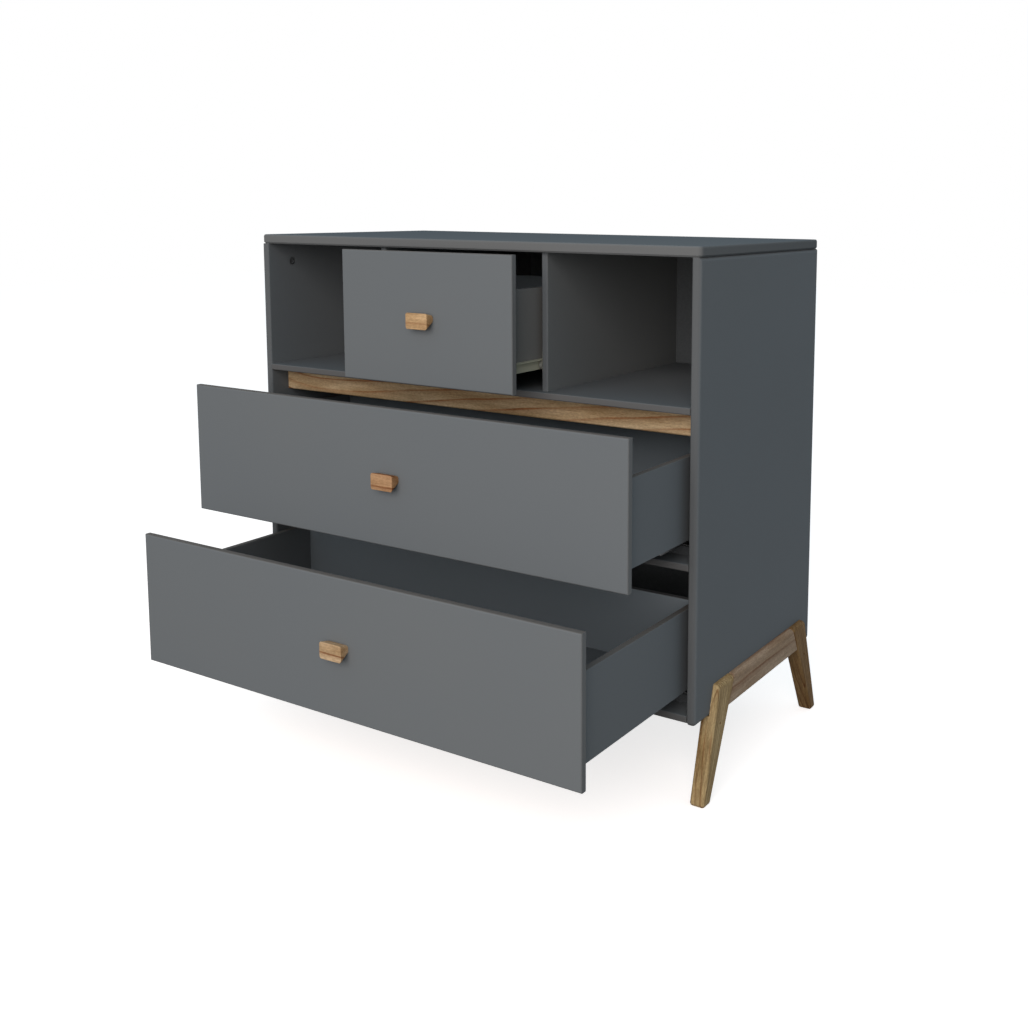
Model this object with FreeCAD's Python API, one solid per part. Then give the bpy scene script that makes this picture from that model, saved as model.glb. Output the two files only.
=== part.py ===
import FreeCAD, Part
import os
from FreeCAD import Vector

# Free-standing chest of drawers, millimetres. X runs to the right as seen from
# the front, Y runs towards the back, Z runs up from the floor.
# The drawers stand pulled out: small a little, middle more, bottom the most.

# Carcass
body_width = 1000.0
body_depth = 490.0
side_height = 785.0
side_thick = 16.0
side_round = 7.0
side_corner = 8.0
inner_round = 4.0
top_thick = 18.0
top_round = 4.0
top_corner = 10.0
top_under_chamfer = 3.0
board_thick = 12.0
board_round = 2.5
housing = 3.5
housing_stop = 12.0
back_thick = 4.0
back_inset = 6.0
back_groove = 5.0
bottom_rise = 4.5
rail_depth = 48.0
divider_outside = 385.0

# Wood rail under the shelf
wood_rail_height = 44.0
wood_rail_thick = 20.0
wood_rail_setback = 42.0
wood_round = 4.0

# Drawer fronts and the gaps around them
front_thick = 14.0
front_round = 3.0
front_height = 242.0
front_side_gap = 2.5
front_gap_low = 1.5
front_gap_high = 6.5
small_gap_low = 6.5
small_gap_top = 1.5

# Drawer boxes
box_side_rise = 32.0
large_box_drop = 67.0
small_box_drop = 61.5
box_thick = 12.0
box_length = 380.0
box_round = 1.5
box_tongue = 6.0
box_tongue_thick = 6.0
box_back_housing = 4.0
bottom_thick = 6.0
bottom_lift = 10.0
bottom_groove = 5.0
large_box_gap = 14.0

# How far each drawer stands out
small_pull = 89.0
middle_pull = 188.0
bottom_pull = 314.0

# Concealed runners of the large drawers
batten_width = 66.0
batten_height = 27.0
track_start = 4.0
track_short = 4.0
track_width = 36.0
slide_start = 4.0
slide_side_gap = 3.0
slide_short = 10.0
carriage_short = 80.0
channel_width = 24.0
channel_depth = 7.0
steel = 2.0
web_thick = 4.0
head_width = 14.0
head_thick = 3.0
lip_reach = 6.0
running_gap = 0.3

# Roller runners of the small drawer
roller_gap = 12.5
runner_steel = 1.5
runner_setback = 3.5
runner_short = 30.0
runner_web = 15.5
runner_flange = 8.0
runner_hook = 10.0
channel_wall_height = 35.0
channel_flange_start = 18.0
roller_radius = 8.5
roller_width = 6.5
roller_rim = 1.0
roller_inset = 8.0
axle_radius = 2.5
axle_fit = 0.06

# Knobs: a wedge whose face is taller than its base
knob_depth = 20.5
knob_base_width = 47.0
knob_face_width = 49.0
knob_base_height = 15.5
knob_face_height = 34.5
knob_base_top = 8.5
knob_face_top = 12.5
knob_corner = 5.0
knob_round = 1.8

# Leg frames
foot_drop = 148.0
frame_top = 53.0
frame_stand_out = 12.0
frame_rail_thick = 11.0
frame_rail_low = 2.0
leg_round = 5.0
leg_foot_round = 5.5
frame_top_round = 9.0
frame_rail_round = 4.0
front_leg_y = 53.0
front_leg_width = 53.0
front_leg_front_lean_share = 0.27
front_leg_back_lean_share = 0.448
rear_leg_setback = 80.0
rear_leg_width = 49.5
rear_leg_front_lean_share = 0.50
rear_leg_back_lean_share = 0.32

# Fastenings
tenon_thick = 7.0
tenon_width = 26.0
tenon_half = 20.0
tenon_end_room = 1.0
pin_radius = 2.5
pin_fit = 0.05
pin_length = 22.0
pin_sink = 1.5
pin_drop = 16.0
cam_radius = 7.5
cam_depth = 12.5
cam_drop = 38.0
cam_setback = 64.0
cam_slot_depth = 1.2
cam_slot_width = 2.4
cam_bolt_radius = 3.0
cam_bolt_grip = 11.0
screw_radius = 2.0
screw_fit = 0.05
screw_head_radius = 4.2
screw_head_height = 2.6
screw_length = 23.0
screw_height = 42.0
knob_screw_bite = 10.0

overrun = 5.0
tiny = 0.001

# Levels and faces worked out from the sizes above
half_width = body_width / 2
inner_x = half_width - side_thick
body_z = foot_drop
top_z = body_z + side_height
bottom_board_z = body_z + bottom_rise
bottom_front_z = bottom_board_z + board_thick + front_gap_low
cross_rail_z = bottom_front_z + front_height + front_gap_high
middle_front_z = cross_rail_z + board_thick + front_gap_low
shelf_z = middle_front_z + front_height + front_gap_high
shelf_top = shelf_z + board_thick
small_front_z = shelf_top + small_gap_low
small_front_height = top_z - small_gap_top - small_front_z
back_y = body_depth - back_inset - back_thick
divider_x = divider_outside / 2
divider_inner_x = divider_x - board_thick
rear_rail_y = back_y - rail_depth
rear_leg_y = body_depth - rear_leg_setback

# Runners are a little shorter than the boxes that they carry
track_length = box_length - track_short
slide_length = box_length - slide_short
carriage_length = box_length - carriage_short
runner_length = box_length - runner_short

nodes = {}


def block(x0, x1, y0, y1, z0, z1):
    return Part.makeBox(x1 - x0, y1 - y0, z1 - z0, Vector(x0, y0, z0))


def rod(radius, start, end):
    start, end = Vector(*start), Vector(*end)
    return Part.makeCylinder(radius, (end - start).Length, start, end - start)


def in_plane(edge, axis, value):
    box = edge.BoundBox
    low, high = getattr(box, axis + "Min"), getattr(box, axis + "Max")
    return abs(low - value) < tiny and abs(high - value) < tiny


def soften(shape, radius, *planes):
    """Round every edge that lies in all of one group of planes (axis, value)."""
    chosen = [e for e in shape.Edges
              if any(all(in_plane(e, a, v) for a, v in group) for group in planes)]
    return shape.makeFillet(radius, chosen)


def mirrored(shape):
    return shape.mirror(Vector(0, 0, 0), Vector(1, 0, 0))


def both_sides(name, shape):
    nodes[name + "_right"] = shape
    nodes[name + "_left"] = mirrored(shape)


def profile(points, y0, y1):
    """Straight bar along Y whose outline in X and Z is given."""
    ring = [Vector(x, y0, z) for x, z in points]
    face = Part.Face(Part.makePolygon(ring + ring[:1]))
    return face.extrude(Vector(0, y1 - y0, 0))


def slab(points, x0, x1):
    """Flat piece of thickness along X whose outline in Y and Z is given."""
    ring = [Vector(x0, y, z) for y, z in points]
    face = Part.Face(Part.makePolygon(ring + ring[:1]))
    return face.extrude(Vector(x1 - x0, 0, 0))


# Carcass boards

def side_panel():
    panel = block(inner_x, half_width, 0, body_depth, body_z, top_z)
    panel = soften(panel, side_corner, [("Y", 0), ("Z", body_z)], [("Y", body_depth), ("Z", body_z)])
    panel = soften(panel, side_round, [("X", half_width)])
    panel = soften(panel, inner_round, [("X", inner_x), ("Y", 0)], [("X", inner_x), ("Z", body_z)])
    groove = block(inner_x - overrun, inner_x + back_groove, back_y, back_y + back_thick,
                   bottom_board_z, top_z + overrun)
    return panel.cut(groove)


def top_panel():
    panel = block(-half_width, half_width, 0, body_depth, top_z, top_z + top_thick)
    corners = [[("X", x), ("Y", y)] for x in (-half_width, half_width) for y in (0, body_depth)]
    panel = soften(panel, top_corner, *corners)
    panel = soften(panel, top_round, [("Z", top_z + top_thick)])
    under = [e for e in panel.Edges if in_plane(e, "Z", top_z)]
    panel = panel.makeChamfer(top_under_chamfer, under)
    reach = inner_x + back_groove
    groove = block(-reach, reach, back_y, back_y + back_thick, top_z - overrun, top_z + back_groove)
    return panel.cut(groove)


def let_in(y0, y1, z0, z1):
    """The part of a board that runs on into a stopped housing in each side panel."""
    reach = inner_x + housing
    return block(-reach, reach, y0, y1, z0, z1)


def lying_board(y0, y1, z0):
    """Board between the sides with rounded front edges; its housings stop short of them."""
    board = block(-inner_x, inner_x, y0, y1, z0, z0 + board_thick)
    board = soften(board, board_round, [("Y", y0)])
    return board.fuse(let_in(y0 + housing_stop, y1, z0, z0 + board_thick)).removeSplitter()


def divider():
    """Upright board with a tongue above and below, set back from its front edge."""
    board = block(divider_inner_x, divider_x, front_thick, back_y, shelf_top, top_z)
    board = soften(board, board_round, [("X", divider_inner_x), ("Y", front_thick)],
                   [("X", divider_x), ("Y", front_thick)])
    mid = (divider_inner_x + divider_x) / 2
    tongue = block(mid - housing / 2, mid + housing / 2, rail_depth, rear_rail_y,
                   shelf_top - housing, top_z + housing)
    return board.fuse(tongue).removeSplitter()


def wood_rail():
    y0, z0 = wood_rail_setback, shelf_z - wood_rail_height
    y1 = y0 + wood_rail_thick
    rail = block(-inner_x, inner_x, y0, y1, z0, shelf_z)
    rail = soften(rail, wood_round, [("Y", y0)], [("Y", y1), ("Z", z0)])
    return rail.fuse(let_in(y0 + wood_round, y1 - wood_round, z0 + wood_round, shelf_z)).removeSplitter()


both_sides("side_panel", side_panel())
nodes["top_panel"] = top_panel()
nodes["shelf"] = lying_board(0, back_y, shelf_z)
nodes["cross_rail"] = lying_board(0, rail_depth, cross_rail_z)
nodes["bottom_board"] = lying_board(0, rail_depth, bottom_board_z)
nodes["rear_rail"] = lying_board(rear_rail_y, back_y, bottom_board_z)
nodes["wood_rail"] = wood_rail()
both_sides("divider", divider())
for name in ("shelf", "top_panel"):
    for side in ("divider_right", "divider_left"):
        nodes[name] = nodes[name].cut(nodes[side])
for name in ("side_panel_right", "side_panel_left"):
    for board in ("shelf", "cross_rail", "bottom_board", "rear_rail", "wood_rail"):
        nodes[name] = nodes[name].cut(nodes[board])
nodes["back_panel"] = block(-inner_x - back_groove, inner_x + back_groove, back_y,
                            back_y + back_thick, bottom_board_z, top_z + back_groove)


# Battens behind the cross rail and the bottom board, let into the side panels,
# carry the large drawers

batten_levels = (bottom_board_z, cross_rail_z)


def battens():
    return [block(inner_x - batten_width, inner_x + housing, rail_depth, rear_rail_y, z, z + batten_height)
            for z in batten_levels]


for batten in battens():
    nodes["side_panel_right"] = nodes["side_panel_right"].cut(batten)
    nodes["side_panel_left"] = nodes["side_panel_left"].cut(mirrored(batten))
both_sides("runner_battens", Part.makeCompound(battens()))


# Leg frames: each leg is notched to the side panel, which stands on its ledge

def leg(y, width, front_lean, back_lean, ahead):
    """Tapered leg; ahead is -1 where the foot runs forward and 1 where it runs back."""
    low, high = -foot_drop, frame_top
    outline = [(y - ahead * front_lean * low, body_z + low),
               (y + width - ahead * back_lean * low, body_z + low),
               (y + width - ahead * back_lean * high, body_z + high),
               (y - ahead * front_lean * high, body_z + high)]
    face = half_width + frame_stand_out
    shape = soften(slab(outline, inner_x, face), frame_top_round, [("X", face), ("Z", body_z + high)])
    long_edges = [e for e in shape.Edges if e.BoundBox.ZLength > frame_top]
    shape = soften(shape.makeFillet(leg_round, long_edges), leg_foot_round, [("Z", 0)])
    notch = block(inner_x - overrun, half_width, y - width, y + width + width, body_z, body_z + high + overrun)
    return shape.cut(notch)


def leg_edge(y, lean, ahead, z):
    return y - ahead * lean * (z - body_z)


def frame_rail():
    low, high = body_z + frame_rail_low, body_z + frame_top
    front, rear = front_leg_y + front_leg_width, rear_leg_y
    outline = [(leg_edge(front, front_leg_back_lean_share, -1, low), low),
               (leg_edge(rear, rear_leg_front_lean_share, 1, low), low),
               (leg_edge(rear, rear_leg_front_lean_share, 1, high), high),
               (leg_edge(front, front_leg_back_lean_share, -1, high), high)]
    x1 = half_width + frame_rail_thick
    rail = soften(slab(outline, half_width, x1), frame_top_round, [("X", x1), ("Z", high)])
    return soften(rail, frame_rail_round, [("X", x1), ("Z", low)])


front_leg = leg(front_leg_y, front_leg_width, front_leg_front_lean_share, front_leg_back_lean_share, -1)
rear_leg = leg(rear_leg_y, rear_leg_width, rear_leg_front_lean_share, rear_leg_back_lean_share, 1)
both_sides("front_leg", front_leg)
both_sides("rear_leg", rear_leg)
both_sides("leg_rail", frame_rail())


# Drawers

def moved_out(shape, pull):
    return shape.translated(Vector(0, -pull, 0))


def knob(centre_z):
    """Wedge: its side view and its plan are each a flat outline run through the other."""
    base_top, face_top = centre_z + knob_base_top, centre_z + knob_face_top
    base_low, face_low = base_top - knob_base_height, face_top - knob_face_height
    base_half, face_half = knob_base_width / 2, knob_face_width / 2
    outline = [(0, base_low), (0, base_top), (-knob_depth, face_top), (-knob_depth, face_low)]
    plan = [Vector(-base_half, 0, face_low), Vector(base_half, 0, face_low),
            Vector(face_half, -knob_depth, face_low), Vector(-face_half, -knob_depth, face_low)]
    column = Part.Face(Part.makePolygon(plan + plan[:1])).extrude(Vector(0, 0, knob_face_height))
    shape = slab(outline, -face_half, face_half).common(column)
    corners = [e for e in shape.Edges if not in_plane(e, "Y", 0) and not in_plane(e, "Y", -knob_depth)]
    return soften(shape.makeFillet(knob_corner, corners), knob_round, [("Y", -knob_depth)])


def knob_screw_line(centre_z):
    return centre_z + knob_base_top - knob_base_height / 2


def knob_screw(centre_z):
    z = knob_screw_line(centre_z)
    shank = rod(screw_radius, (0, front_thick, z), (0, -knob_screw_bite, z))
    head = rod(screw_head_radius, (0, front_thick, z), (0, front_thick + screw_head_height, z))
    return shank.fuse(head)


def drawer(name, half_front, box_x, z, height, box_drop, pull):
    """Front, two sides, back, bottom, knob and screw of one drawer."""
    centre_z = z + height / 2
    side_z = z + box_side_rise
    side_top = z + height - box_drop
    floor_z = side_z + bottom_lift
    inner = box_x - box_thick
    rear = front_thick + box_length
    back_front = rear - box_thick

    front = block(-half_front, half_front, 0, front_thick, z, z + height)
    front = soften(front, front_round, [("Y", 0)], [("Y", front_thick)])
    bottom_slot = block(-inner, inner, front_thick - bottom_groove, front_thick + overrun,
                        floor_z, floor_z + bottom_thick)
    front = front.cut(bottom_slot)

    side = block(inner, box_x, front_thick, rear, side_z, side_top)
    side = soften(side, box_round, [("X", inner), ("Z", side_top)], [("X", box_x), ("Z", side_top)])
    mid = (inner + box_x) / 2
    tongue = block(mid - box_tongue_thick / 2, mid + box_tongue_thick / 2, front_thick - box_tongue,
                   front_thick + overrun, side_z, side_top - box_tongue)
    side = side.fuse(tongue).removeSplitter()
    groove = block(inner - overrun, inner + bottom_groove, front_thick - box_tongue - overrun,
                   rear + overrun, floor_z, floor_z + bottom_thick)
    housing = block(inner - overrun, inner + box_back_housing, back_front, rear + overrun,
                    floor_z + bottom_thick, side_top + overrun)
    side = side.cut(groove).cut(housing)
    for s in (side, mirrored(side)):
        front = front.cut(s)

    back_reach = inner + box_back_housing
    back = block(-back_reach, back_reach, back_front, rear, floor_z + bottom_thick, side_top)
    back = soften(back, box_round, [("Y", back_front), ("Z", side_top)], [("Y", rear), ("Z", side_top)])
    floor_reach = inner + bottom_groove
    floor = block(-floor_reach, floor_reach, front_thick, rear, floor_z, floor_z + bottom_thick)
    floor = floor.fuse(block(-inner, inner, front_thick - bottom_groove, front_thick,
                             floor_z, floor_z + bottom_thick)).removeSplitter()

    line = knob_screw_line(centre_z)
    bore = rod(screw_radius + screw_fit, (0, front_thick + overrun, line), (0, -knob_screw_bite - tiny, line))
    pieces = {"front": front.cut(bore), "side_right": side, "side_left": mirrored(side), "back": back,
              "bottom": floor, "knob": knob(centre_z).cut(bore), "knob_screw": knob_screw(centre_z)}
    for piece, shape in pieces.items():
        nodes[name + "_drawer_" + piece] = moved_out(shape, pull)


large_half_front = inner_x - front_side_gap
large_box_x = inner_x - large_box_gap
small_box_x = divider_inner_x - roller_gap
drawer("small", divider_x, small_box_x, small_front_z, small_front_height, small_box_drop, small_pull)
drawer("middle", large_half_front, large_box_x, middle_front_z, front_height, large_box_drop, middle_pull)
drawer("bottom", large_half_front, large_box_x, bottom_front_z, front_height, large_box_drop, bottom_pull)


# Concealed runners: a track on the batten, a carriage on the track, and a slide
# under the drawer bottom that hangs over the carriage

channel_half, web_half, head_half = channel_width / 2, web_thick / 2, head_width / 2
runner_x = large_box_x - box_thick - slide_side_gap - channel_half


def channel(roof):
    """Half section, from the centre outwards, of a channel that hooks under a head."""
    low, lip = roof - channel_depth, roof - channel_depth + steel
    inside = channel_half - steel
    return [(channel_half, roof + steel), (channel_half, low), (channel_half - lip_reach, low),
            (channel_half - lip_reach, lip), (inside, lip), (inside, roof)]


def whole(half, centre):
    """Close a half section on the other side of its centre line."""
    points = half + [(-x, z) for x, z in reversed(half)]
    return [(centre + x, z) for x, z in points]


def head_section(low, high):
    return [(web_half, low), (web_half, high - head_thick), (head_half, high - head_thick), (head_half, high)]


def runner_levels(batten_z, front_z):
    """Top of the batten, top of the lower head and underside of the drawer bottom."""
    seat = batten_z + batten_height
    under = front_z + box_side_rise + bottom_lift
    head = seat + (under - seat - steel - running_gap) / 2
    return seat, head, under


def track(batten_z, front_z):
    seat, head, under = runner_levels(batten_z, front_z)
    y0 = rail_depth + track_start
    base = block(runner_x - track_width / 2, runner_x + track_width / 2, y0, y0 + track_length,
                 seat, seat + steel)
    bar = profile(whole(head_section(seat + steel, head), runner_x), y0, y0 + track_length)
    return base.fuse(bar).removeSplitter()


def carriage(batten_z, front_z, pull):
    seat, head, under = runner_levels(batten_z, front_z)
    y0 = rail_depth + track_start - pull / 2
    roof = head + running_gap
    lower = profile(whole(channel(roof), runner_x), y0, y0 + carriage_length)
    upper_section = head_section(roof + steel, under - steel - running_gap)
    upper = profile(whole(upper_section, runner_x), y0, y0 + carriage_length)
    return lower.fuse(upper).removeSplitter()


def slide(batten_z, front_z, pull):
    seat, head, under = runner_levels(batten_z, front_z)
    y0 = front_thick + slide_start - pull
    return profile(whole(channel(under - steel), runner_x), y0, y0 + slide_length)


large_drawers = {"middle": (cross_rail_z, middle_front_z, middle_pull),
                 "bottom": (bottom_board_z, bottom_front_z, bottom_pull)}
both_sides("runner_tracks", Part.makeCompound([track(b, f) for b, f, p in large_drawers.values()]))
for name, (batten_z, front_z, pull) in large_drawers.items():
    for piece, shape in (("carriages", carriage(batten_z, front_z, pull)),
                         ("slides", slide(batten_z, front_z, pull))):
        nodes[name + "_runner_" + piece] = Part.makeCompound([shape, mirrored(shape)])


# Roller runners of the small drawer: a hooked flange on the box side rides on the
# cabinet's front roller, and a roller at its back end runs in the cabinet channel

box_low = small_front_z + box_side_rise
flange_z = box_low + runner_web
roller_z = flange_z - running_gap - roller_radius
channel_low = roller_z - roller_radius - running_gap - runner_steel
runner_y = front_thick + runner_setback
web_face = small_box_x + runner_steel
wall_face = divider_inner_x - runner_steel
roller_x = (web_face + wall_face) / 2
front_axle_y = runner_y + roller_inset
rear_axle_y = front_thick + runner_length - roller_inset


def drawer_runner():
    y0, y1 = front_thick, front_thick + runner_length
    low = box_low - runner_steel
    web = block(small_box_x, web_face, y0, y1, low, flange_z + runner_steel)
    hook = block(small_box_x - runner_hook, small_box_x, y0, y1, low, box_low)
    flange = block(web_face, web_face + runner_flange, y0, y1, flange_z, flange_z + runner_steel)
    axle = rod(axle_radius, (small_box_x + tiny, rear_axle_y, roller_z),
               (roller_x + roller_width / 2, rear_axle_y, roller_z))
    return web.fuse([hook, flange, axle]).removeSplitter()


def cabinet_runner():
    y0, y1 = runner_y, runner_y + runner_length
    wall = block(wall_face, divider_inner_x, y0, y1, channel_low, channel_low + channel_wall_height)
    reach = wall_face - runner_flange
    upper = channel_low + channel_wall_height
    flange_y = y0 + channel_flange_start
    shelf_low = block(reach, wall_face, flange_y, y1, channel_low, channel_low + runner_steel)
    shelf_high = block(reach, wall_face, flange_y, y1, upper - runner_steel, upper)
    axle = rod(axle_radius, (divider_inner_x - tiny, front_axle_y, roller_z),
               (roller_x - roller_width / 2, front_axle_y, roller_z))
    return wall.fuse([shelf_low, shelf_high, axle]).removeSplitter()


def roller(y):
    """Wheel with bevelled rims, turned about its axle from half of its section."""
    x0, x1 = roller_x - roller_width / 2, roller_x + roller_width / 2
    bore, rim = axle_radius + axle_fit, roller_radius - roller_rim
    ring = [Vector(x, y, roller_z + r) for x, r in ((x0, bore), (x0, rim), (x0 + roller_rim, roller_radius),
                                                   (x1 - roller_rim, roller_radius), (x1, rim), (x1, bore))]
    face = Part.Face(Part.makePolygon(ring + ring[:1]))
    return face.revolve(Vector(0, y, roller_z), Vector(1, 0, 0), 360)


both_sides("small_drawer_runner", moved_out(drawer_runner(), small_pull))
both_sides("cabinet_runner", cabinet_runner())
both_sides("front_roller", roller(front_axle_y))
both_sides("rear_roller", moved_out(roller(rear_axle_y), small_pull))


# Fastenings: each hole is cut with the same values as the piece in it

tenons, pins, screws, cams, bolts = [], [], [], [], []


def drill(names, hole):
    for name in names:
        nodes[name] = nodes[name].cut(hole)
        twin = name.replace("_right", "_left")
        if twin != name:
            nodes[twin] = nodes[twin].cut(mirrored(hole))
        else:
            nodes[name] = nodes[name].cut(mirrored(hole))


def add_pair(group, shape):
    group.extend([shape, mirrored(shape)])


def upright(centre_y, half_thick, half_width_y, z0, z1):
    return block(panel_x - half_thick, panel_x + half_thick,
                 centre_y - half_width_y, centre_y + half_width_y, z0, z1)


def leg_centre(y, width, front_lean, back_lean, ahead, z):
    return (leg_edge(y, front_lean, ahead, z) + leg_edge(y + width, back_lean, ahead, z)) / 2


pin_z = body_z - pin_drop
panel_x = inner_x + side_thick / 2
legs = {"front_leg_right": (front_leg_y, front_leg_width,
                            front_leg_front_lean_share, front_leg_back_lean_share, -1),
        "rear_leg_right": (rear_leg_y, rear_leg_width,
                           rear_leg_front_lean_share, rear_leg_back_lean_share, 1)}
for name, sizes in legs.items():
    y = leg_centre(*sizes, pin_z)
    low, high = body_z - tenon_half, body_z + tenon_half
    drill([name, "side_panel_right"],
          upright(y, tenon_thick / 2, tenon_width / 2, low - tenon_end_room, high + tenon_end_room))
    end, face = half_width + frame_stand_out - pin_sink - pin_length, half_width + frame_stand_out
    hole = rod(pin_radius + pin_fit, (face + overrun, y, pin_z), (end, y, pin_z))
    drill([name], hole)
    add_pair(tenons, upright(y, tenon_thick / 2, tenon_width / 2, low, high).cut(hole))
    add_pair(pins, rod(pin_radius, (face - pin_sink, y, pin_z), (end, y, pin_z)))


def frame_screw(y, z):
    """Countersunk screw from inside the carcass through the panel into the leg rail."""
    head = Part.makeCone(screw_head_radius, screw_radius, screw_head_height,
                         Vector(inner_x, y, z), Vector(1, 0, 0))
    shank = rod(screw_radius, (inner_x, y, z), (inner_x + screw_length, y, z))
    wide = Part.makeCone(screw_head_radius + screw_fit, screw_radius + screw_fit, screw_head_height,
                         Vector(inner_x, y, z), Vector(1, 0, 0))
    hole = rod(screw_radius + screw_fit, (inner_x, y, z), (inner_x + screw_length, y, z))
    return head.fuse(shank), wide.fuse(hole)


screw_z = body_z + screw_height
rail_front = leg_edge(front_leg_y + front_leg_width, front_leg_back_lean_share, -1, screw_z)
rail_rear = leg_edge(rear_leg_y, rear_leg_front_lean_share, 1, screw_z)
screw, hole = frame_screw((rail_front + rail_rear) / 2, screw_z)
drill(["leg_rail_right", "side_panel_right"], hole)
add_pair(screws, screw)

cam_z = top_z - cam_drop
cam_face = inner_x + cam_depth
for y in (cam_setback, body_depth - cam_setback):
    line = ((panel_x, y, cam_z + cam_radius), (panel_x, y, top_z + cam_bolt_grip))
    bore = rod(cam_bolt_radius + screw_fit, *line)
    seat = rod(cam_radius + screw_fit, (inner_x - overrun, y, cam_z), (cam_face, y, cam_z))
    cam = rod(cam_radius, (inner_x, y, cam_z), (cam_face, y, cam_z))
    slots = [block(inner_x, inner_x + cam_slot_depth, y - w, y + w, cam_z - h, cam_z + h)
             for w, h in ((cam_slot_width / 2, cam_radius * 2 / 3), (cam_radius * 2 / 3, cam_slot_width / 2))]
    drill(["side_panel_right"], seat.fuse(bore))
    drill(["top_panel"], bore)
    add_pair(cams, cam.cut(slots[0]).cut(slots[1]))
    add_pair(bolts, rod(cam_bolt_radius, *line))

for name, group in (("leg_tenons", tenons), ("leg_pins", pins), ("frame_screws", screws),
                    ("cam_fittings", cams), ("cam_bolts", bolts)):
    nodes[name] = Part.makeCompound(group)


# The origin is on the floor, below the middle of everything as it stands

def extent(names):
    boxes = [nodes[n].optimalBoundingBox(False) for n in names]
    return min(b.YMin for b in boxes), max(b.YMax for b in boxes)


reaching = ["bottom_drawer_knob", "bottom_drawer_front", "rear_leg_right", "side_panel_right"]
lowest_y, highest_y = extent(reaching)
centre_y = (lowest_y + highest_y) / 2
print("carcass front face y", -centre_y, "ends", lowest_y, highest_y)

os.makedirs("parts", exist_ok=True)
for name, shape in nodes.items():
    shape = shape.translated(Vector(0, -centre_y, 0))
    solids = shape.Solids
    if not shape.isValid():
        print("not valid:", name)
    shape = solids[0] if len(solids) == 1 else Part.makeCompound(solids)
    shape.exportStep("parts/" + name + ".step")
print(len(nodes), "nodes")
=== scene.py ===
import math

import bmesh
import bpy
from mathutils import Euler, Matrix, Vector


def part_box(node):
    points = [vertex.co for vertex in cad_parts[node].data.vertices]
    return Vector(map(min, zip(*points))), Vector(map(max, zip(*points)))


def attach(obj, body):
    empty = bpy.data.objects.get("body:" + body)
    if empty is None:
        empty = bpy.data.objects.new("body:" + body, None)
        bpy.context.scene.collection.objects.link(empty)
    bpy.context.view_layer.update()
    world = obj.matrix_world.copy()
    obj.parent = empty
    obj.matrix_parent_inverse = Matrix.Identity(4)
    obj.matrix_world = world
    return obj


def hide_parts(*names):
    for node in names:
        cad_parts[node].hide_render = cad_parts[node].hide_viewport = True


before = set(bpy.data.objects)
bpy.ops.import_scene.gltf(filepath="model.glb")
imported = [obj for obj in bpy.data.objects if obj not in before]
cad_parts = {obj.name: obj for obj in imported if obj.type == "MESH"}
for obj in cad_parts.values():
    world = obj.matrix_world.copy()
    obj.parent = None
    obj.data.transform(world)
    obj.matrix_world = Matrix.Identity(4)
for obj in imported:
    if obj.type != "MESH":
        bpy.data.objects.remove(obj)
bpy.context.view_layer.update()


# Camera: it stands at the right front corner, a little above the top, and its
# frame is shifted down and to the left because the picture was cut off-centre.
camera_place = (1.37653, -1.75425, 1.01764)
camera_turn = 0.53855
camera_tilt = -0.12331
camera_roll = 0.00701
sensor_width = 36.0
lens_length = 41.39
frame_shift = (-0.1177, -0.1595)

camera = bpy.data.objects.new("camera", bpy.data.cameras.new("camera"))
camera.data.sensor_width = sensor_width
camera.data.lens = lens_length
camera.data.shift_x, camera.data.shift_y = frame_shift
camera.matrix_world = (Matrix.Translation(camera_place) @ Matrix.Rotation(camera_turn, 4, "Z")
                       @ Matrix.Rotation(math.pi / 2 + camera_tilt, 4, "X")
                       @ Matrix.Rotation(camera_roll, 4, "Z"))
bpy.context.scene.collection.objects.link(camera)
bpy.context.scene.camera = camera


# Painted boards: fibreboard sprayed with satin blue-grey lacquer. The flat faces
# are smooth with a very fine orange peel; the rounded edges are a little browner,
# and their colours hold painted shade and painted highlight, board by board.
paint_face = (0.148, 0.158, 0.166)
paint_face_warm = (0.154, 0.162, 0.167)
# the next three edge colours: painted shade on the edges of the side panels, lying boards and drawer boxes,
# and a painted highlight on the edges of the top and fronts
shaded_edge = (0.119, 0.1225, 0.1255)
shaded_board_edge = (0.118, 0.115, 0.114)
highlight_edge = (0.154, 0.154, 0.153)
brown_edge = (0.129, 0.119, 0.111)
# the dividers are the same lacquer painted lighter and bluer: painted light inside the compartments
lit_divider_face = (0.172, 0.177, 0.177)
lit_divider_edge = (0.122, 0.128, 0.134)
# the top's faces are painted this much lighter than the same lacquer elsewhere: painted light on the top
top_painted_light = 1.13
paint_roughness = (0.52, 0.60)
paint_specular = 0.03
top_specular = 0.0
cloud_size = 0.35
peel_size = 0.0016
peel_detail = 1.0
peel_depth = 0.00006
edge_turn = (0.55, 0.97)
most_noise = (0.3, 0.7)


def start_finish(name):
    """New material with its shader and its object coordinates, in metres."""
    finish = bpy.data.materials.new(name)
    finish.use_nodes = True
    nodes = finish.node_tree.nodes
    place = nodes.new("ShaderNodeTexCoord")
    return finish, nodes, finish.node_tree.links, nodes["Principled BSDF"], place


def noise(nodes, links, place, size, detail=2.0, roughness=0.5):
    """Noise whose spots are about size metres across."""
    cloud = nodes.new("ShaderNodeTexNoise")
    cloud.inputs["Scale"].default_value = 1 / size
    cloud.inputs["Detail"].default_value = detail
    cloud.inputs["Roughness"].default_value = roughness
    links.new(place, cloud.inputs["Vector"])
    return cloud.outputs["Fac"]


def calculate(nodes, links, operation, *values):
    """One calculation on numbers or outputs, by the name of its operation."""
    step = nodes.new("ShaderNodeMath")
    step.operation = operation
    for socket, value in zip(step.inputs, values):
        if isinstance(value, bpy.types.NodeSocket):
            links.new(value, socket)
        else:
            socket.default_value = value
    return step.outputs[0]


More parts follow.
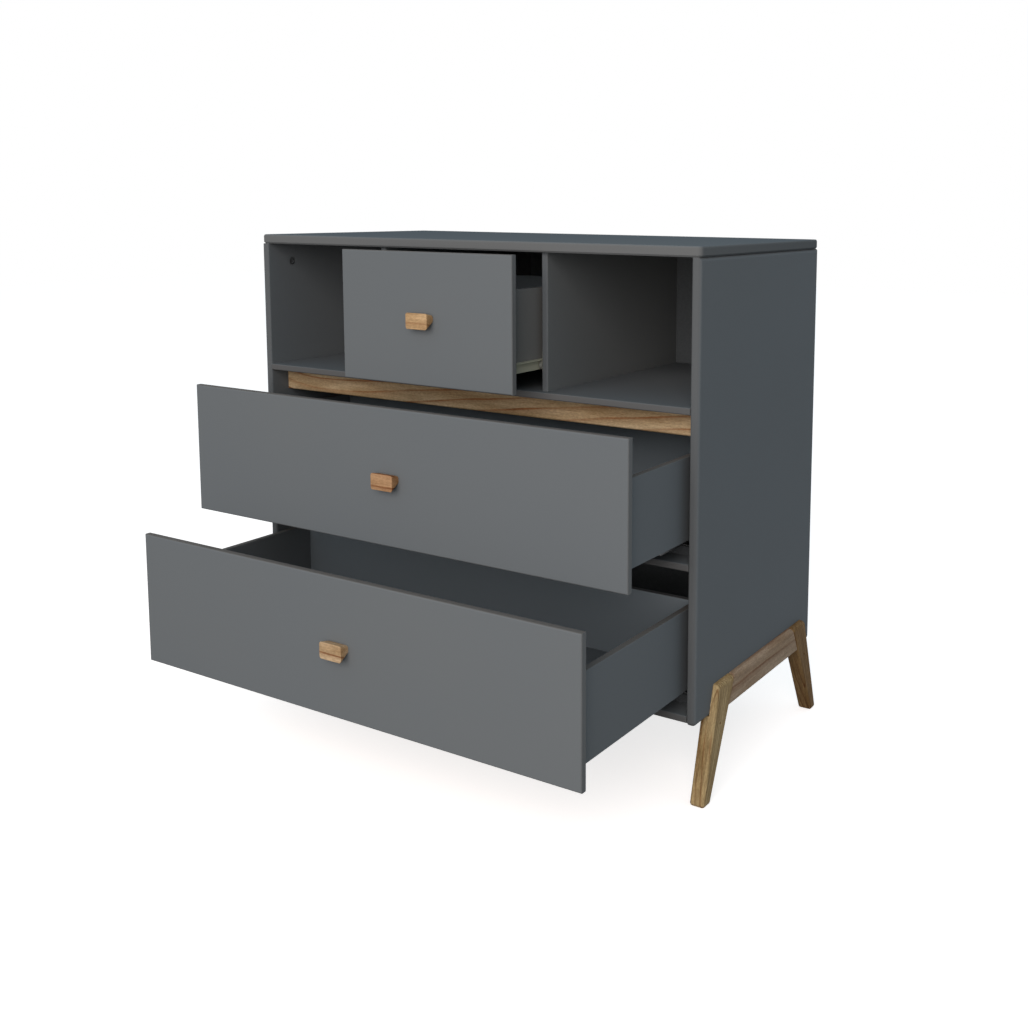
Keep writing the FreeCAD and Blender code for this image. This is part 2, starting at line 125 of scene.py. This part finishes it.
def mix_colours(nodes, links, share, first, second, blend="MIX"):
    """Colour mix of two colours or colour outputs by a share output or number."""
    mix = nodes.new("ShaderNodeMix")
    mix.data_type = "RGBA"
    mix.blend_type = blend
    # the node repeats its sockets for each type: colours go in at 6 and 7, out at 2
    for socket, value in ((mix.inputs[0], share), (mix.inputs[6], first), (mix.inputs[7], second)):
        if isinstance(value, bpy.types.NodeSocket):
            links.new(value, socket)
        elif isinstance(value, tuple):
            socket.default_value = value + (1.0,)
        else:
            socket.default_value = value
    return mix.outputs[2]


def spread(nodes, links, value, low, high, new_low=0.0, new_high=1.0):
    """Map the stretch from low to high onto another, clamped at its ends."""
    ramp = nodes.new("ShaderNodeMapRange")
    for name, number in (("From Min", low), ("From Max", high), ("To Min", new_low), ("To Max", new_high)):
        ramp.inputs[name].default_value = number
    links.new(value, ramp.inputs["Value"])
    return ramp.outputs["Result"]


def raise_by(nodes, links, shader, height, depth):
    """Fine relief of the surface, depth metres high."""
    bump = nodes.new("ShaderNodeBump")
    bump.inputs["Distance"].default_value = depth
    bump.inputs["Strength"].default_value = 1.0
    links.new(height, bump.inputs["Height"])
    links.new(bump.outputs["Normal"], shader.inputs["Normal"])


def shaded(colour, factor):
    """The same colour, lighter or darker by a factor."""
    return tuple(factor * channel for channel in colour)


def painted_board(name, thin, specular=paint_specular, edge=shaded_edge, upper_edge=None, cool=paint_face,
                  warm=paint_face_warm):
    """Satin lacquer on a board whose thin direction is X, Y or Z. Its faces drift
    from cool to warm, and edges that look up can have a colour of their own."""
    finish, nodes, links, shader, place = start_finish(name)
    facing = nodes.new("ShaderNodeSeparateXYZ")
    links.new(place.outputs["Normal"], facing.inputs[0])
    flatness = calculate(nodes, links, "ABSOLUTE", facing.outputs[thin])
    on_face = spread(nodes, links, flatness, *edge_turn)
    clouds = noise(nodes, links, place.outputs["Object"], cloud_size)
    body = mix_colours(nodes, links, spread(nodes, links, clouds, *most_noise), cool, warm)
    if upper_edge:
        upward = spread(nodes, links, facing.outputs["Z"], *edge_turn)
        edge = mix_colours(nodes, links, upward, edge, upper_edge)
    links.new(mix_colours(nodes, links, on_face, edge, body), shader.inputs["Base Color"])
    links.new(spread(nodes, links, clouds, *most_noise, *paint_roughness), shader.inputs["Roughness"])
    shader.inputs["Specular IOR Level"].default_value = specular
    peel = noise(nodes, links, place.outputs["Object"], peel_size, peel_detail)
    raise_by(nodes, links, shader, peel, peel_depth)
    return finish


def coat(finish, *names):
    """Give the named pieces this finish."""
    for name in names:
        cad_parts[name].data.materials.clear()
        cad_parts[name].data.materials.append(finish)


# the top is painted lighter, as painted light, with a painted highlight on its edges; the lying boards' and
# side panels' edges carry painted shade; the dividers are painted lighter, as painted light inside the
# compartments
top_paint = painted_board("paint_on_top", "Z", top_specular, highlight_edge, cool=shaded(paint_face, top_painted_light),
                          warm=shaded(paint_face_warm, top_painted_light))
lying_paint = painted_board("paint_on_lying_boards", "Z", top_specular, shaded_board_edge)
standing_paint = painted_board("paint_on_side_panels", "X", upper_edge=brown_edge)
divider_paint = painted_board("paint_on_dividers", "X", edge=lit_divider_edge, cool=lit_divider_face,
                              warm=lit_divider_face)
coat(top_paint, "top_panel")
coat(lying_paint, "shelf", "cross_rail", "bottom_board")
coat(standing_paint, "side_panel_left", "side_panel_right")
coat(divider_paint, "divider_left", "divider_right")


# Back panel and drawer bottoms: thin hardboard, painted grey and duller than the
# lacquered boards. The back slides in grooves, the bottoms in the drawer sides.
hardboard_face = (0.104, 0.110, 0.115)
# the drawer bottoms are painted lighter than the back panel: painted light inside the drawers
lit_box_bottom_face = (0.132, 0.148, 0.160)
hardboard_size = 0.004
hardboard_darker = 0.86
hardboard_roughness = 0.72
middle_noise = (0.35, 0.65)


def mottled(nodes, links, shader, share, colour, darker):
    """Base colour between the colour and a darker shade of it."""
    mottle = mix_colours(nodes, links, share, shaded(colour, darker), colour)
    links.new(mottle, shader.inputs["Base Color"])


def hardboard(name, colour):
    """Dull paint on the fine mottle of pressed fibres."""
    finish, nodes, links, shader, place = start_finish(name)
    fibres = noise(nodes, links, place.outputs["Object"], hardboard_size, detail=4.0, roughness=0.7)
    mottled(nodes, links, shader, spread(nodes, links, fibres, *middle_noise), colour, hardboard_darker)
    shader.inputs["Roughness"].default_value = hardboard_roughness
    shader.inputs["Specular IOR Level"].default_value = paint_specular
    raise_by(nodes, links, shader, fibres, peel_depth)
    return finish


coat(hardboard("painted_hardboard", hardboard_face), "back_panel")
coat(hardboard("painted_box_bottom", lit_box_bottom_face), "small_drawer_bottom", "middle_drawer_bottom",
     "bottom_drawer_bottom")


# Drawer fronts and boxes: the same lacquer on fibreboard. The fronts lie inside
# the carcass; the box sides are tongued into the fronts and hold the backs.
# the small box's sides are painted lighter and warmer, and the box backs lighter and bluer, than the same
# lacquer elsewhere: painted light inside the drawers
lit_small_box_face = (0.178, 0.173, 0.165)
lit_box_back_face = (0.188, 0.212, 0.232)

front_paint = painted_board("paint_on_drawer_fronts", "Y", edge=highlight_edge, upper_edge=brown_edge)
box_back_paint = painted_board("paint_on_box_backs", "Y", cool=lit_box_back_face, warm=lit_box_back_face)
small_box_paint = painted_board("paint_on_small_box", "X", upper_edge=brown_edge, cool=lit_small_box_face,
                                warm=lit_small_box_face)
box_side_paints = {"small": small_box_paint, "middle": standing_paint, "bottom": standing_paint}
for drawer, side_paint in box_side_paints.items():
    coat(front_paint, drawer + "_drawer_front")
    coat(box_back_paint, drawer + "_drawer_back")
    coat(side_paint, drawer + "_drawer_side_left", drawer + "_drawer_side_right")


# Natural wood: light tan hardwood with a matt clear lacquer. Every piece is cut
# along its grain: thin red-brown ring lines run lengthwise on a pale, finely
# flecked ground, and its sawn ends are darker.
wood_light = (0.55, 0.370, 0.205)
wood_middle = (0.37, 0.222, 0.103)
wood_dark = (0.230, 0.100, 0.040)
streak_tones = ((0.70, 0.67, 0.63), (1.20, 1.22, 1.24))
fibre_tones = ((0.86, 0.84, 0.80), (1.10, 1.10, 1.10))
fleck_tones = ((0.86, 0.85, 0.84), (1.13, 1.13, 1.12))
end_grain_tone = (0.92, 0.85, 0.78)
end_grain_turn = (0.70, 0.97)
wood_roughness = (0.50, 0.64)
wood_specular = 0.05
pore_depth = 0.00010
pore_darkness = 0.45
pore_noise = (0.66, 0.74)
ground_noise = (0.35, 0.70)
streak_noise = (0.32, 0.68)
curl_reach = 0.10
noise_swing = 4.0
ragged_share = 0.10
faintest_line = 0.40
ring_shades = ((0.45, 0.0), (0.78, 0.34), (0.87, 1.0), (0.95, 0.90))

# noises in the wood: how much they are drawn out along the grain, the size of
# their spots in metres, their detail and their roughness
slow_wander = (0.16, 0.06, 2.0, 0.5)
quick_wander = (0.05, 0.025, 1.0, 0.5)
ragged_lines = (0.12, 0.004, 2.0, 0.5)
fading_lines = (0.10, 0.018, 1.0, 0.5)
broad_ground = (0.20, 0.03, 2.0, 0.5)
long_streaks = (0.045, 0.0042, 2.0, 0.6)
fine_fibres = (0.05, 0.0011, 3.0, 0.65)
short_flecks = (0.40, 0.0026, 2.0, 0.7)
open_pores = (0.07, 0.0008, 1.0, 0.5)


def toned(colour, tone):
    """The colour times a tint, channel by channel."""
    return tuple(channel * share for channel, share in zip(colour, tone))


def natural_wood(name, start, ring, drift, waves, tone, turn=(0.0, 0.0, 0.0), curl=0.0, across=0.35,
                 streaky=0.45, lines=wood_dark):
    """Wood whose grain runs along X before turn is applied, with start as the place
    where the plank's figure begins. ring is the distance between ring lines, drift
    their slope, waves how far they wander, curl how far they dip at the start of
    the piece, and across how fast they pass through it. tone is the plank's tint,
    streaky the strength of its fibre streaks, and lines the colour of its rings."""
    finish, nodes, links, shader, place = start_finish(name)

    def work_out(operation, *values):
        return calculate(nodes, links, operation, *values)

    def grain_noise(drawn_out, size, detail, roughness):
        pulled = nodes.new("ShaderNodeMapping")
        pulled.inputs["Scale"].default_value = (drawn_out, 1.0, 1.0)
        links.new(along.outputs["Vector"], pulled.inputs["Vector"])
        return noise(nodes, links, pulled.outputs["Vector"], size, detail, roughness)

    def stretch(value, span, new_span=(0.0, 1.0)):
        return spread(nodes, links, value, *span, *new_span)

    def multiply(share, first, second):
        return mix_colours(nodes, links, share, first, second, "MULTIPLY")

    along = nodes.new("ShaderNodeMapping")
    along.vector_type = "TEXTURE"
    along.inputs["Rotation"].default_value = turn
    along.inputs["Location"].default_value = start
    links.new(place.outputs["Object"], along.inputs["Vector"])

    # ring lines: each is pale, then a little darker, then a thin dark line
    split = nodes.new("ShaderNodeSeparateXYZ")
    links.new(along.outputs["Vector"], split.inputs[0])
    sloped = work_out("MULTIPLY_ADD", split.outputs["X"], drift, split.outputs["Z"])
    dip = work_out("EXPONENT", work_out("DIVIDE", split.outputs["X"], -curl_reach))
    bent = work_out("MULTIPLY_ADD", dip, -curl, sloped)
    depth = work_out("MULTIPLY_ADD", split.outputs["Y"], across, bent)
    for wander, reach in ((slow_wander, noise_swing * waves), (quick_wander, noise_swing * waves),
                          (ragged_lines, ragged_share * ring)):
        depth = work_out("MULTIPLY_ADD", grain_noise(*wander), reach, depth)
    within = work_out("FRACT", work_out("DIVIDE", depth, ring))
    line = nodes.new("ShaderNodeValToRGB")
    for stop in line.color_ramp.elements:
        stop.color = (0.0, 0.0, 0.0, 1.0)
    for position, level in ring_shades:
        line.color_ramp.elements.new(position).color = (level, level, level, 1.0)
    links.new(within, line.inputs["Fac"])
    fading = stretch(grain_noise(*fading_lines), middle_noise, (faintest_line, 1.0))
    line_share = work_out("MULTIPLY", line.outputs["Color"], fading)

    # broad paler and deeper stretches under the lines, and long fibre streaks
    light, middle, dark = (toned(colour, tone) for colour in (wood_light, wood_middle, lines))
    ground = mix_colours(nodes, links, stretch(grain_noise(*broad_ground), ground_noise), light, middle)
    figure = mix_colours(nodes, links, line_share, ground, dark)
    streaks = stretch(grain_noise(*long_streaks), streak_noise)
    figure = multiply(streaky, figure, mix_colours(nodes, links, streaks, *streak_tones))

    # fibres, flecks and short open pores
    fibres = grain_noise(*fine_fibres)
    fibre_shade = mix_colours(nodes, links, stretch(fibres, most_noise), *fibre_tones)
    figure = multiply(1.0, figure, fibre_shade)
    flecks = stretch(grain_noise(*short_flecks), middle_noise)
    figure = multiply(1.0, figure, mix_colours(nodes, links, flecks, *fleck_tones))
    pores = stretch(grain_noise(*open_pores), pore_noise)
    figure = mix_colours(nodes, links, work_out("MULTIPLY", pores, pore_darkness), figure, dark)

    # sawn ends look along the grain
    grain = Euler(turn).to_matrix() @ Vector((1.0, 0.0, 0.0))
    facing = nodes.new("ShaderNodeVectorMath")
    facing.operation = "DOT_PRODUCT"
    facing.inputs[1].default_value = grain
    links.new(place.outputs["Normal"], facing.inputs[0])
    sawn = stretch(work_out("ABSOLUTE", facing.outputs["Value"]), end_grain_turn)
    ends = multiply(1.0, figure, end_grain_tone)
    links.new(mix_colours(nodes, links, sawn, figure, ends), shader.inputs["Base Color"])
    links.new(stretch(fibres, most_noise, wood_roughness), shader.inputs["Roughness"])
    shader.inputs["Specular IOR Level"].default_value = wood_specular
    raise_by(nodes, links, shader, work_out("SUBTRACT", fibres, pores), pore_depth)
    return finish


# Wood rail under the shelf: one flat-sawn length. Its ring lines dip to its lower
# edge on the left and then climb slowly all the way to the right.
rail_tone = (1.03, 1.13, 1.27)
rail_lines = (0.27, 0.097, 0.033)
rail_plank = (-0.47, 0.05, 0.013)
rail_ring = 0.020
rail_climb = -0.12
rail_dip = 0.037
rail_waves = 0.002

rail_wood = natural_wood("wood_of_rail", start=rail_plank, ring=rail_ring, drift=rail_climb, curl=rail_dip,
                         waves=rail_waves, tone=rail_tone, lines=rail_lines)
coat(rail_wood, "wood_rail")


# Leg frames: splayed legs, each notched under its side panel, with a rail glued
# between them. Every piece is sawn along its own length.
leg_slopes = {"front": 0.359, "rear": -0.41}
# the rear legs are tinted much darker than the front legs, to about half their brightness
leg_tones = {"front": (0.97, 1.06, 1.03), "rear": (0.51, 0.475, 0.40)}
leg_plank = (0.02, 0.19)
leg_figure = {"ring": 0.0060, "drift": 0.02, "curl": -0.028, "waves": 0.0010, "across": 0.55, "streaky": 1.0}
leg_rail_tone = (0.85, 0.92, 1.20)
leg_rail_plank = (0.3, 0.1)
leg_rail_figure = {"ring": 0.028, "drift": 0.02, "waves": 0.004, "streaky": 0.4}
plank_starts = {"left": 0.31, "right": 0.0}
quarter = math.pi / 2

for side, plank_start in plank_starts.items():
    for end, slope in leg_slopes.items():
        leg = end + "_leg_" + side
        lengthwise = (0.0, math.atan(slope) + quarter, quarter)
        coat(natural_wood("wood_of_" + leg, (plank_start, *leg_plank), tone=leg_tones[end], turn=lengthwise,
                          **leg_figure), leg)
    leg_rail = "leg_rail_" + side
    coat(natural_wood("wood_of_" + leg_rail, (plank_start, *leg_rail_plank), tone=leg_rail_tone,
                      turn=(0.0, 0.0, quarter), **leg_rail_figure), leg_rail)


# Knobs: small wedges of the same wood with rounded edges, grain across, each
# screwed on from inside the drawer. They are finished by hand, so each sits a
# little differently and is a little flatter than the solid that it stands for.
knob_tones = {"small": (1.05, 1.03, 1.04), "middle": (0.90, 0.81, 0.83), "bottom": (1.13, 1.22, 1.42)}
knob_planks = {"small": 0.050, "middle": 0.131, "bottom": 0.257}
knob_drops = {"small": -0.0006, "middle": 0.0015, "bottom": -0.0024}
knob_shifts = {"small": -0.0020, "middle": 0.0022, "bottom": 0.0012}
knob_line_shares = {"small": 0.58, "middle": 0.70, "bottom": 0.57}
knob_line_waves = {"small": 0.0008, "middle": 0.0025, "bottom": 0.0012}
knob_ring = 0.022
knob_ring_slant = 0.35
ring_line_share = 0.84
knob_flatter = 0.0025
knob_face_height = 0.0298
knob_base_height = 0.0145
knob_base_drop = 0.0040
knob_taper = 0.0010
knob_corner = 0.0045
knob_corner_steps = 6
knob_edge = 0.0018
knob_edge_steps = 4
round_profile = 0.5
face_tolerance = knob_edge / 10
smooth_below = math.radians(35.0)


def wedge(name, low, high, face_top, shift):
    """Closed wedge between two corners: a tall face in front, a low base behind."""
    middle = (low[0] + high[0]) / 2 + shift
    half = (high[0] - low[0]) / 2
    face_y = low[1] + knob_flatter
    base_top = face_top - knob_base_drop
    form = bmesh.new()
    rings = []
    for y, reach, top, height in ((face_y, half, face_top, knob_face_height),
                                  (high[1], half - knob_taper, base_top, knob_base_height)):
        corners = ((-reach, top - height), (reach, top - height), (reach, top), (-reach, top))
        rings.append([form.verts.new((middle + x, y, z)) for x, z in corners])
    face, base = rings
    form.faces.new(face)
    form.faces.new(base[::-1])
    for k in range(len(face)):
        form.faces.new((face[k], face[k - 1], base[k - 1], base[k]))
    bmesh.ops.recalc_face_normals(form, faces=form.faces)
    long_edges = [form.edges.get(pair) for pair in zip(face, base)]
    bmesh.ops.bevel(form, geom=long_edges, offset=knob_corner, segments=knob_corner_steps,
                    profile=round_profile, affect="EDGES")
    rim = [edge for edge in form.edges if all(end.co.y < face_y + face_tolerance for end in edge.verts)]
    bmesh.ops.bevel(form, geom=rim, offset=knob_edge, segments=knob_edge_steps, profile=round_profile,
                    affect="EDGES")
    mesh = bpy.data.meshes.new(name)
    form.to_mesh(mesh)
    form.free()
    mesh.polygons.foreach_set("use_smooth", [True] * len(mesh.polygons))
    mesh.set_sharp_from_angle(angle=smooth_below)
    piece = bpy.data.objects.new(name, mesh)
    bpy.context.scene.collection.objects.link(piece)
    return piece


for drawer, plank in knob_planks.items():
    node = drawer + "_drawer_knob"
    low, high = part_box(node)
    face_top = high[2] - knob_drops[drawer]
    knob = wedge(drawer + "_knob", low, high, face_top, knob_shifts[drawer])
    # the plank's height sets where the one dark ring line crosses the knob's face
    line_height = face_top - knob_line_shares[drawer] * knob_face_height
    waves = knob_line_waves[drawer]
    heart = line_height + knob_ring_slant * low[1] + noise_swing * waves - ring_line_share * knob_ring
    knob.data.materials.append(natural_wood("wood_of_" + drawer + "_knob", start=(plank, 0.0, heart),
                                            ring=knob_ring, drift=0.0, waves=waves, across=knob_ring_slant,
                                            tone=knob_tones[drawer]))
    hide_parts(node)
    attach(knob, drawer + "_drawer")


# Hidden timber: battens that carry the runners and the rear rail, stained dark,
# and the plain beech tenons that join the legs to the side panels.
batten_colour = (0.075, 0.080, 0.085)
beech_colour = (0.52, 0.36, 0.21)
timber_drawn_out = 0.06
timber_streak_size = 0.002
timber_darker = 0.8
timber_roughness = 0.75
timber_specular = 0.2


def plain_timber(name, colour):
    """Timber with short streaks that run from front to back."""
    finish, nodes, links, shader, place = start_finish(name)
    grain = nodes.new("ShaderNodeMapping")
    grain.inputs["Scale"].default_value = (1.0, timber_drawn_out, 1.0)
    links.new(place.outputs["Object"], grain.inputs["Vector"])
    streaks = noise(nodes, links, grain.outputs["Vector"], timber_streak_size, detail=3.0, roughness=0.6)
    mottled(nodes, links, shader, spread(nodes, links, streaks, *middle_noise), colour, timber_darker)
    shader.inputs["Roughness"].default_value = timber_roughness
    shader.inputs["Specular IOR Level"].default_value = timber_specular
    raise_by(nodes, links, shader, streaks, pore_depth)
    return finish


coat(plain_timber("stained_batten", batten_colour), "runner_battens_left", "runner_battens_right",
     "rear_rail")
coat(plain_timber("beech", beech_colour), "leg_tenons")


# Steel: zinc, darkened as painted shade, on the concealed runners, the bolts and the
# screws; burnished zinc on the cam fittings; and pins that lock the legs, painted
# near black as the shade of their holes.
shaded_zinc_colour = (0.17, 0.175, 0.18)
zinc_roughness = 0.55
burnished_colour = (0.24, 0.25, 0.26)
burnished_roughness = 0.5
# near black: painted shade of the pins' holes
pin_hole_shade_colour = (0.008, 0.008, 0.008)
pin_roughness = 0.6
roughness_swing = 0.06
spangle_size = 0.003
spangle_darker = 0.85
spangle_depth = 0.00002


def metal(name, colour, roughness):
    """Metal with the soft spangle of a plated surface."""
    finish, nodes, links, shader, place = start_finish(name)
    spangle = noise(nodes, links, place.outputs["Object"], spangle_size, detail=3.0)
    mottled(nodes, links, shader, spangle, colour, spangle_darker)
    sheen = (roughness - roughness_swing, roughness + roughness_swing)
    links.new(spread(nodes, links, spangle, *most_noise, *sheen), shader.inputs["Roughness"])
    shader.inputs["Metallic"].default_value = 1.0
    raise_by(nodes, links, shader, spangle, spangle_depth)
    return finish


shaded_zinc_plate = metal("shaded_zinc_plate", shaded_zinc_colour, zinc_roughness)
coat(shaded_zinc_plate, "frame_screws", "cam_bolts", "runner_tracks_left", "runner_tracks_right")
for drawer in ("middle", "bottom"):
    coat(shaded_zinc_plate, drawer + "_runner_carriages", drawer + "_runner_slides")
for drawer in knob_planks:
    coat(shaded_zinc_plate, drawer + "_drawer_knob_screw")
coat(metal("burnished_metal", burnished_colour, burnished_roughness), "cam_fittings")
coat(metal("pins_painted_as_hole_shade", pin_hole_shade_colour, pin_roughness), "leg_pins")


# Roller runners of the small drawer: folded steel with a cream powder coat, and
# moulded rollers that turn on pressed axles, darkened to a grey-cream as painted shade.
cream_colour = (0.42, 0.41, 0.31)
cream_roughness = 0.5
cream_grain = 0.0012
# the rollers' colour is darkened: painted shade behind the divider
shaded_roller_colour = (0.21, 0.21, 0.185)
roller_roughness = 0.4
roller_grain = 0.002
moulded_darker = 0.9
moulded_specular = 0.4
moulded_depth = 0.00004


def moulded(name, colour, roughness, grain):
    """Satin plastic or powder coat with a fine grain."""
    finish, nodes, links, shader, place = start_finish(name)
    spots = noise(nodes, links, place.outputs["Object"], grain)
    mottled(nodes, links, shader, spots, colour, moulded_darker)
    shader.inputs["Roughness"].default_value = roughness
    shader.inputs["Specular IOR Level"].default_value = moulded_specular
    raise_by(nodes, links, shader, spots, moulded_depth)
    return finish


cream_coat = moulded("cream_powder_coat", cream_colour, cream_roughness, cream_grain)
roller_plastic = moulded("roller_plastic", shaded_roller_colour, roller_roughness, roller_grain)
for side in ("left", "right"):
    coat(cream_coat, "small_drawer_runner_" + side, "cabinet_runner_" + side)
    coat(roller_plastic, "front_roller_" + side, "rear_roller_" + side)


# Floor and light: a pale floor that runs out to white, one large soft lamp in
# front and a little above, and cool light from the room all round.
floor_half = 12.0
floor_colour = (0.95, 0.83, 0.77)
floor_glow = 0.70
floor_seen_by_object = (0.22, 0.21, 0.20)
room_light = (0.31, 0.40, 0.465)
room_seen = (1.0, 1.0, 1.0)
lamp_place = (0.95, -3.8, 1.9)
lamp_aim = (0.0, -0.1, 0.45)
lamp_width = 4.2
lamp_height = 3.2
lamp_power = 150.0
lamp_colour = (1.0, 0.93, 0.88)


def seen_directly(nodes, links):
    """1 for what the camera sees itself, in a mirror or through glass."""
    path = nodes.new("ShaderNodeLightPath")
    either = path.outputs["Is Camera Ray"]
    for ray in ("Is Glossy Ray", "Is Transmission Ray"):
        either = calculate(nodes, links, "MAXIMUM", either, path.outputs[ray])
    return either


floor_mesh = bpy.data.meshes.new("floor")
floor_corners = [(-floor_half, -floor_half, 0.0), (floor_half, -floor_half, 0.0),
                 (floor_half, floor_half, 0.0), (-floor_half, floor_half, 0.0)]
floor_mesh.from_pydata(floor_corners, [], [(0, 1, 2, 3)])
floor = bpy.data.objects.new("floor", floor_mesh)
bpy.context.scene.collection.objects.link(floor)
floor_finish = bpy.data.materials.new("pale_floor")
floor_finish.use_nodes = True
nodes, links = floor_finish.node_tree.nodes, floor_finish.node_tree.links
nodes.remove(nodes["Principled BSDF"])
pale, glow, both, dim, choose = (nodes.new("ShaderNode" + kind) for kind in
                                 ("BsdfDiffuse", "Emission", "AddShader", "BsdfDiffuse", "MixShader"))
pale.inputs["Color"].default_value = floor_colour + (1.0,)
glow.inputs["Strength"].default_value = floor_glow
dim.inputs["Color"].default_value = floor_seen_by_object + (1.0,)
links.new(pale.outputs[0], both.inputs[0])
links.new(glow.outputs[0], both.inputs[1])
links.new(seen_directly(nodes, links), choose.inputs[0])
links.new(dim.outputs[0], choose.inputs[1])
links.new(both.outputs[0], choose.inputs[2])
links.new(choose.outputs[0], nodes["Material Output"].inputs["Surface"])
floor_mesh.materials.append(floor_finish)

world = bpy.data.worlds.new("room")
world.use_nodes = True
bpy.context.scene.world = world
nodes, links = world.node_tree.nodes, world.node_tree.links
room = nodes["Background"]
room.inputs["Color"].default_value = room_light + (1.0,)
white = nodes.new("ShaderNodeBackground")
white.inputs["Color"].default_value = room_seen + (1.0,)
choose = nodes.new("ShaderNodeMixShader")
links.new(seen_directly(nodes, links), choose.inputs[0])
links.new(room.outputs[0], choose.inputs[1])
links.new(white.outputs[0], choose.inputs[2])
links.new(choose.outputs[0], nodes["World Output"].inputs["Surface"])

lamp_data = bpy.data.lights.new("front_lamp", "AREA")
lamp_data.shape = "RECTANGLE"
lamp_data.size = lamp_width
lamp_data.size_y = lamp_height
lamp_data.energy = lamp_power
lamp_data.color = lamp_colour
lamp = bpy.data.objects.new("front_lamp", lamp_data)
lamp.location = lamp_place
lamp.rotation_euler = (Vector(lamp_aim) - Vector(lamp_place)).to_track_quat("-Z", "Y").to_euler()
bpy.context.scene.collection.objects.link(lamp)

bpy.context.scene.view_settings.view_transform = "Standard"
